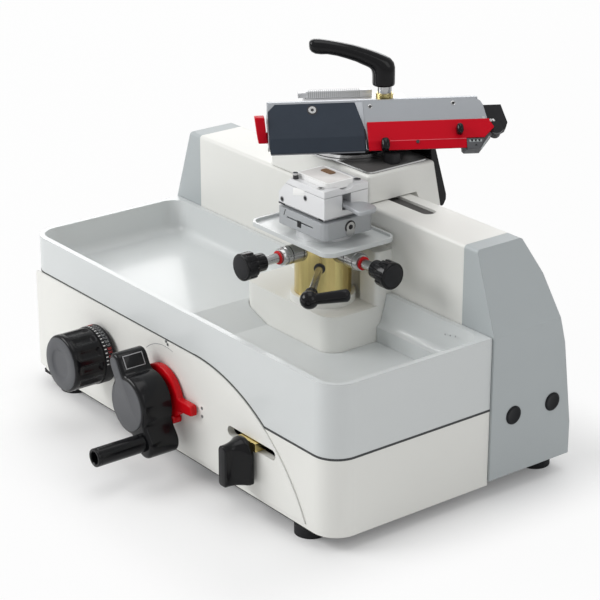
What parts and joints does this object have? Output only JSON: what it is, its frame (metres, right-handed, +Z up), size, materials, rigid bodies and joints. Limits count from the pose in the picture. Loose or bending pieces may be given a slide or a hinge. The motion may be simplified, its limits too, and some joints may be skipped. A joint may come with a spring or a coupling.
{
  "type": "sledge microtome",
  "caption": "Sledge microtome with a sliding saddle, angled blade holder, brass specimen column, waste tray and front feed crank.",
  "frame": {"origin": "on the bench, under the middle of the outer box", "axes": "+X along the slideway to the user's right, +Y to the back, +Z up"},
  "size_m": [0.4364, 0.3804, 0.33],
  "materials": {
    "white_paint": "satin warm white",
    "grey_paint": "satin light blue-grey",
    "dark_steel": "matte dark",
    "steel": "fine brushed",
    "aluminium": "satin",
    "brass": "turned",
    "black_plastic": "gloss black",
    "grey_plastic": "matte grey",
    "red_metal": "red anodised",
    "anthracite": "dark brushed",
    "rubber": "matte",
    "cassette_plastic": "matte white",
    "wax": "waxy",
    "blade_steel": "polished"
  },
  "bodies": {
    "machine": {"base_housing": "white_paint", "front_panel": "white_paint", "base_plate": "dark_steel", "rubber_feet": "rubber", "waste_tray": "grey_paint", "column_pedestal": "white_paint", "rear_housing": "white_paint", "end_panel_left": "grey_paint", "end_panel_right": "grey_paint", "end_plugs": "black_plastic", "guide_rail": "steel", "shaft_bearings": "steel"},
    "sledge": {"sledge_body": "white_paint", "sledge_plate": "anthracite", "sledge_grip": "black_plastic", "swivel_ring": "steel", "swivel_lock_block": "black_plastic"},
    "knife_unit": {"swivel_disc": "dark_steel", "knife_base": "dark_steel", "rear_bar": "steel", "clamp_stud": "steel", "stud_ring": "brass", "holder_body": "anthracite", "pressure_plate": "anthracite", "face_plate": "steel", "blade": "blade_steel", "corner_block": "grey_plastic", "end_block": "black_plastic", "holder_screws": "steel"},
    "knife_clamp": {"clamp_lever": "black_plastic"},
    "guard": {"finger_guard": "red_metal", "guard_pins": "black_plastic"},
    "blade_release": {"release_lever": "red_metal"},
    "column": {"feed_column": "brass"},
    "front_tilt_knob": {"front_spindle": "steel", "front_spindle_knob": "black_plastic"},
    "right_tilt_knob": {"right_spindle": "steel", "right_spindle_knob": "black_plastic"},
    "tilt_lock": {"lock_lever": "black_plastic"},
    "yoke": {"tilt_yoke": "steel"},
    "head": {"tilt_post": "aluminium", "drip_tray": "grey_paint"},
    "clamp": {"clamp_base": "aluminium", "clamp_vise": "aluminium", "clamp_cover": "aluminium", "clamp_screws": "steel", "cassette": "cassette_plastic", "tissue": "wax"},
    "paddle": {"clamp_paddle": "steel"},
    "crank": {"crank_body": "black_plastic", "crank_face": "grey_plastic", "crank_shaft": "steel"},
    "crank_grip": {"crank_handle": "black_plastic"},
    "mode": {"mode_ring": "red_metal"},
    "cross": {"cross_shaft": "steel"},
    "screw": {"feed_screw": "steel"},
    "thickness": {"thickness_drum": "grey_plastic", "thickness_knob": "black_plastic"},
    "selector": {"selector_lever": "black_plastic", "selector_slide": "brass"}
  },
  "joints": [
    {"name": "sledge_slide", "type": "slide", "parent": "machine", "child": "sledge", "axis": [1, 0, 0], "range_m": [-0.078, 0.088]},
    {"name": "knife_swivel", "type": "hinge", "parent": "sledge", "child": "knife_unit", "pos_m": [-0.003, 0.08783, 0.24], "axis": [0, 0, 1], "range_deg": [-20, 20]},
    {"name": "knife_clamp_turn", "type": "hinge", "parent": "knife_unit", "child": "knife_clamp", "pos_m": [0.01211, 0.11258, 0.3], "axis": [0, 0, 1], "range_deg": [-30, 120]},
    {"name": "guard_lift", "type": "hinge", "parent": "knife_unit", "child": "guard", "pos_m": [0.05394, 0.12337, 0.2642], "axis": [-0.521, -0.8536, 0], "range_deg": [0, 85]},
    {"name": "blade_release_turn", "type": "hinge", "parent": "knife_unit", "child": "blade_release", "pos_m": [-0.02168, 0.01019, 0.255], "axis": [0.521, 0.8536, 0], "range_deg": [-20, 70]},
    {"name": "column_feed", "type": "slide", "parent": "machine", "child": "column", "axis": [0, 0, 1], "range_m": [-0.006, 0.004]},
    {"name": "front_knob_turn", "type": "hinge", "parent": "column", "child": "front_tilt_knob", "pos_m": [0.048, -0.04417, 0.1765], "axis": [0, 1, 0], "range_deg": [-540, 540]},
    {"name": "right_knob_turn", "type": "hinge", "parent": "column", "child": "right_tilt_knob", "pos_m": [0.12, 0.01883, 0.1765], "axis": [-1, 0, 0], "range_deg": [-540, 540]},
    {"name": "tilt_lock_turn", "type": "hinge", "parent": "column", "child": "tilt_lock", "pos_m": [0.09043, -0.0236, 0.165], "axis": [0.7071, -0.7071, 0], "range_deg": [-50, 50]},
    {"name": "head_tilt_front", "type": "hinge", "parent": "column", "child": "yoke", "pos_m": [0.048, 0.01883, 0.178], "axis": [1, 0, 0], "range_deg": [-3.01, 3.01]},
    {"name": "head_tilt_side", "type": "hinge", "parent": "yoke", "child": "head", "pos_m": [0.048, 0.01883, 0.178], "axis": [0, 1, 0], "range_deg": [-3.01, 3.01]},
    {"name": "clamp_swivel", "type": "hinge", "parent": "head", "child": "clamp", "pos_m": [0.0542, 0.01583, 0.1964], "axis": [0, 0, 1], "range_deg": [-15, 15]},
    {"name": "paddle_lift", "type": "hinge", "parent": "clamp", "child": "paddle", "pos_m": [0.076, 0.01573, 0.2222], "axis": [0, -1, 0], "range_deg": [0, 20]},
    {"name": "crank_turn", "type": "hinge", "parent": "machine", "child": "crank", "pos_m": [-0.003, -0.10417, 0.059], "axis": [0, 1, 0], "range_deg": [-1081, 721]},
    {"name": "crank_grip_spin", "type": "hinge", "parent": "crank", "child": "crank_grip", "pos_m": [0.01759, -0.16417, 0.03321], "axis": [0, 1, 0], "continuous": true},
    {"name": "mode_turn", "type": "hinge", "parent": "machine", "child": "mode", "pos_m": [-0.003, -0.10417, 0.059], "axis": [0, 1, 0], "range_deg": [-20, 30]},
    {"name": "cross_shaft_turn", "type": "hinge", "parent": "machine", "child": "cross", "pos_m": [0.02, 0.01883, 0.059], "axis": [1, 0, 0], "range_deg": [-1081, 721]},
    {"name": "feed_screw_turn", "type": "hinge", "parent": "machine", "child": "screw", "pos_m": [0.048, 0.01883, 0.06], "axis": [0, 0, 1], "range_deg": [-721, 1081]},
    {"name": "thickness_turn", "type": "hinge", "parent": "machine", "child": "thickness", "pos_m": [-0.0985, -0.10417, 0.064], "axis": [0, 1, 0], "range_deg": [0, 320]},
    {"name": "selector_slide_move", "type": "slide", "parent": "machine", "child": "selector", "axis": [1, 0, 0], "range_m": [-0.017, 0.019]}
  ],
  "couplings": [
    {"joint": "crank_turn", "follows": "column_feed", "rad_per_m": 3141.6},
    {"joint": "cross_shaft_turn", "follows": "column_feed", "rad_per_m": 3141.6},
    {"joint": "feed_screw_turn", "follows": "column_feed", "rad_per_m": -3141.6},
    {"joint": "head_tilt_front", "follows": "front_knob_turn", "ratio": 0.0055556},
    {"joint": "head_tilt_side", "follows": "right_knob_turn", "ratio": 0.0055556}
  ]
}
